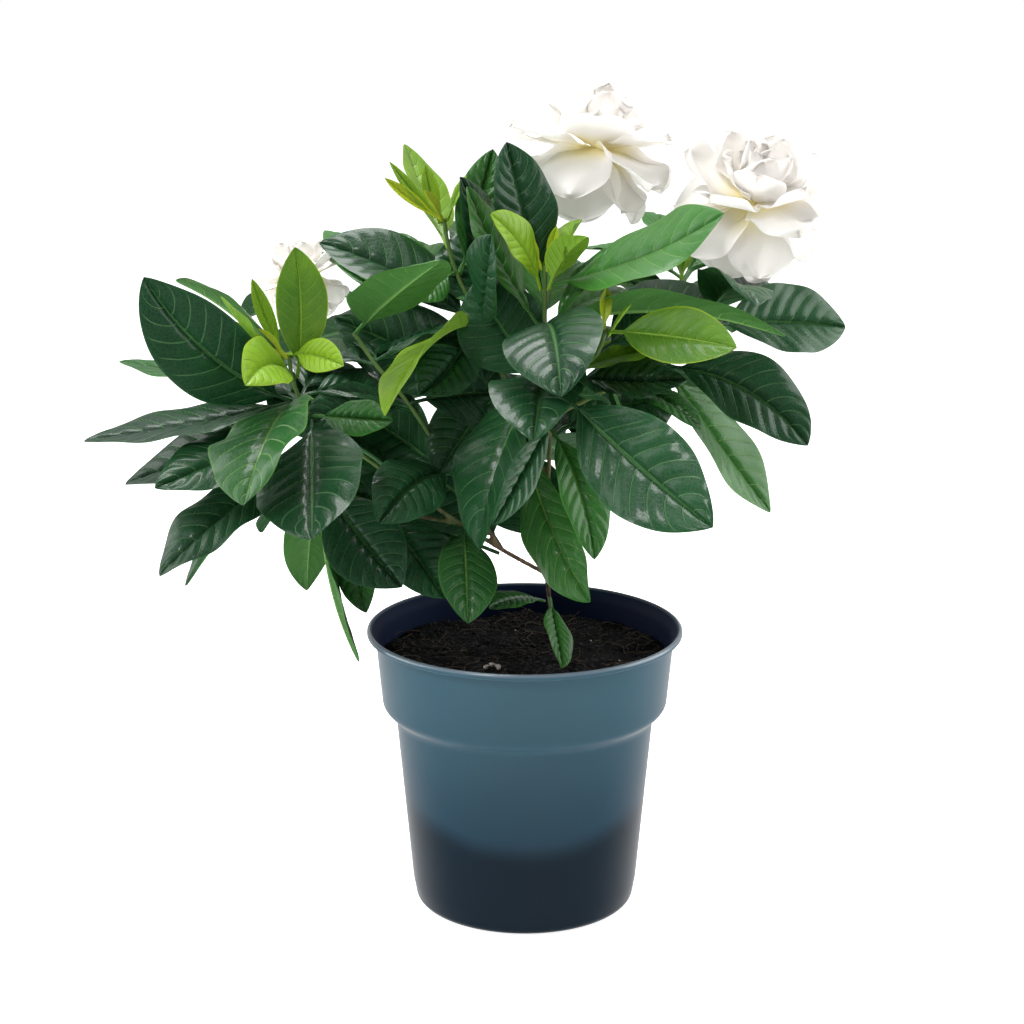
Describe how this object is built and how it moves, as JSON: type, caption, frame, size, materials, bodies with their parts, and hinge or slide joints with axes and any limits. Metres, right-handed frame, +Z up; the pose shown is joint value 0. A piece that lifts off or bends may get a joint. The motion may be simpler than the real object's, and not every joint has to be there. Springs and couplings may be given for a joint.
{
  "type": "potted gardenia",
  "caption": "Bushy young gardenia with glossy leaves and double cream flowers, rooted in potting mix in a tapered plastic nursery pot.",
  "frame": {"origin": "centre of the pot's flat base, on the surface that it stands on", "axes": "+Z up along the pot's axis, -Y towards the plant's best side, +X to the right seen from there"},
  "size_m": [0.3085, 0.2373, 0.327],
  "materials": {
    "pot_plastic": "gloss",
    "potting_mix": "matte",
    "bark": "matte",
    "leaf_dark": "gloss",
    "leaf_mid": "gloss",
    "leaf_young": "gloss",
    "petal": "satin"
  },
  "bodies": {
    "root": {"pot": "pot_plastic", "potting_mix": "potting_mix", "stem": "bark", "leaf_left_01": "leaf_dark", "leaf_left_02": "leaf_dark", "leaf_left_03": "leaf_dark", "leaf_left_04": "leaf_dark", "leaf_left_05": "leaf_mid", "leaf_left_06": "leaf_dark", "leaf_left_07": "leaf_dark", "leaf_left_08": "leaf_dark", "leaf_left_09": "leaf_mid", "leaf_left_10": "leaf_dark", "leaf_left_11": "leaf_dark", "leaf_left_12": "leaf_mid", "leaf_left_13": "leaf_young", "leaf_left_14": "leaf_young", "leaf_left_15": "leaf_young", "leaf_left_16": "leaf_mid", "leaf_left_17": "leaf_mid", "leaf_middle_01": "leaf_mid", "leaf_middle_02": "leaf_dark", "leaf_middle_03": "leaf_dark", "leaf_middle_04": "leaf_dark", "leaf_upper_01": "leaf_young", "leaf_upper_02": "leaf_mid", "leaf_upper_03": "leaf_mid", "leaf_upper_04": "leaf_dark", "leaf_upper_05": "leaf_dark", "leaf_upper_06": "leaf_young", "leaf_top_01": "leaf_dark", "leaf_top_02": "leaf_young", "leaf_top_03": "leaf_young", "leaf_top_04": "leaf_mid", "leaf_top_05": "leaf_dark", "leaf_top_06": "leaf_mid", "leaf_right_01": "leaf_young", "leaf_right_02": "leaf_young", "leaf_right_03": "leaf_mid", "leaf_right_04": "leaf_dark", "leaf_right_05": "leaf_dark", "leaf_right_06": "leaf_dark", "leaf_right_07": "leaf_mid", "leaf_front_01": "leaf_dark", "leaf_front_02": "leaf_dark", "leaf_front_03": "leaf_dark", "leaf_front_04": "leaf_dark", "leaf_front_05": "leaf_mid", "leaf_front_06": "leaf_mid", "leaf_front_07": "leaf_mid", "leaf_front_08": "leaf_mid", "leaf_back_01": "leaf_mid", "leaf_back_02": "leaf_dark", "leaf_back_03": "leaf_mid", "leaf_back_04": "leaf_dark", "leaf_back_05": "leaf_mid", "leaf_back_06": "leaf_dark", "flower_top": "petal", "flower_right": "petal", "flower_left": "petal"}
  },
  "joints": []
}
